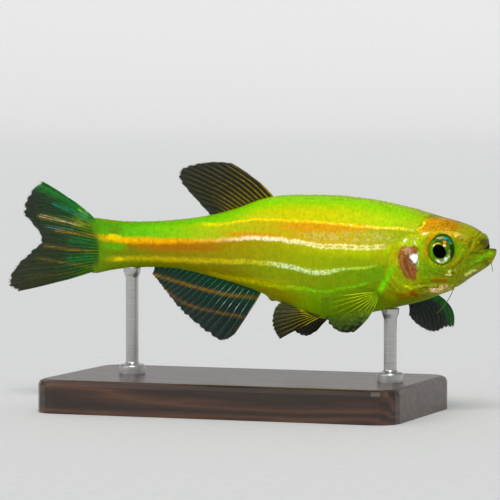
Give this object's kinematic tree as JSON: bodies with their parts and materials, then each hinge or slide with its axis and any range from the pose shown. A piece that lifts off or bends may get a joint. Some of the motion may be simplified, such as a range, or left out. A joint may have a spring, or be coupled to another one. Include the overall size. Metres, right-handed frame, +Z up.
{
  "type": "zebra danio fish model on stand",
  "caption": "Life-size still model of a slim striped danio fish in side pose, held over a flat base by two short rods.",
  "frame": {"origin": "centre of the model's box in plan, on the table under the stand's base", "axes": "+X from tail to head, +Y to the fish's left side, +Z up"},
  "size_m": [0.0472, 0.018, 0.0225],
  "materials": {
    "body_skin": "wet, scaled fluorescent green skin with pale stripes",
    "head_skin": "wet, smooth olive green skin with an orange nape",
    "gill_skin": "thin glossy skin with red-brown gills showing through",
    "eye": "clear wet eye with a gold-ringed black pupil",
    "fin": "thin translucent membrane between jointed rays",
    "stand_wood": "dark oiled wood",
    "stand_steel": "satin"
  },
  "bodies": {
    "root": {"head": "head_skin", "lower_jaw": "head_skin", "gill_cover_right": "gill_skin", "gill_cover_left": "gill_skin", "eye_right": "eye", "eye_left": "eye", "trunk": "body_skin", "tail_stem": "body_skin", "dorsal_fin": "fin", "caudal_fin": "fin", "anal_fin": "fin", "pelvic_fin_right": "fin", "pelvic_fin_left": "fin", "pectoral_fin_right": "fin", "pectoral_fin_left": "fin", "maxillary_barbel_right": "head_skin", "maxillary_barbel_left": "head_skin", "rostral_barbel_right": "head_skin", "rostral_barbel_left": "head_skin", "stand_base": "stand_wood", "stand_rod_rear": "stand_steel", "stand_rod_front": "stand_steel"}
  },
  "joints": []
}
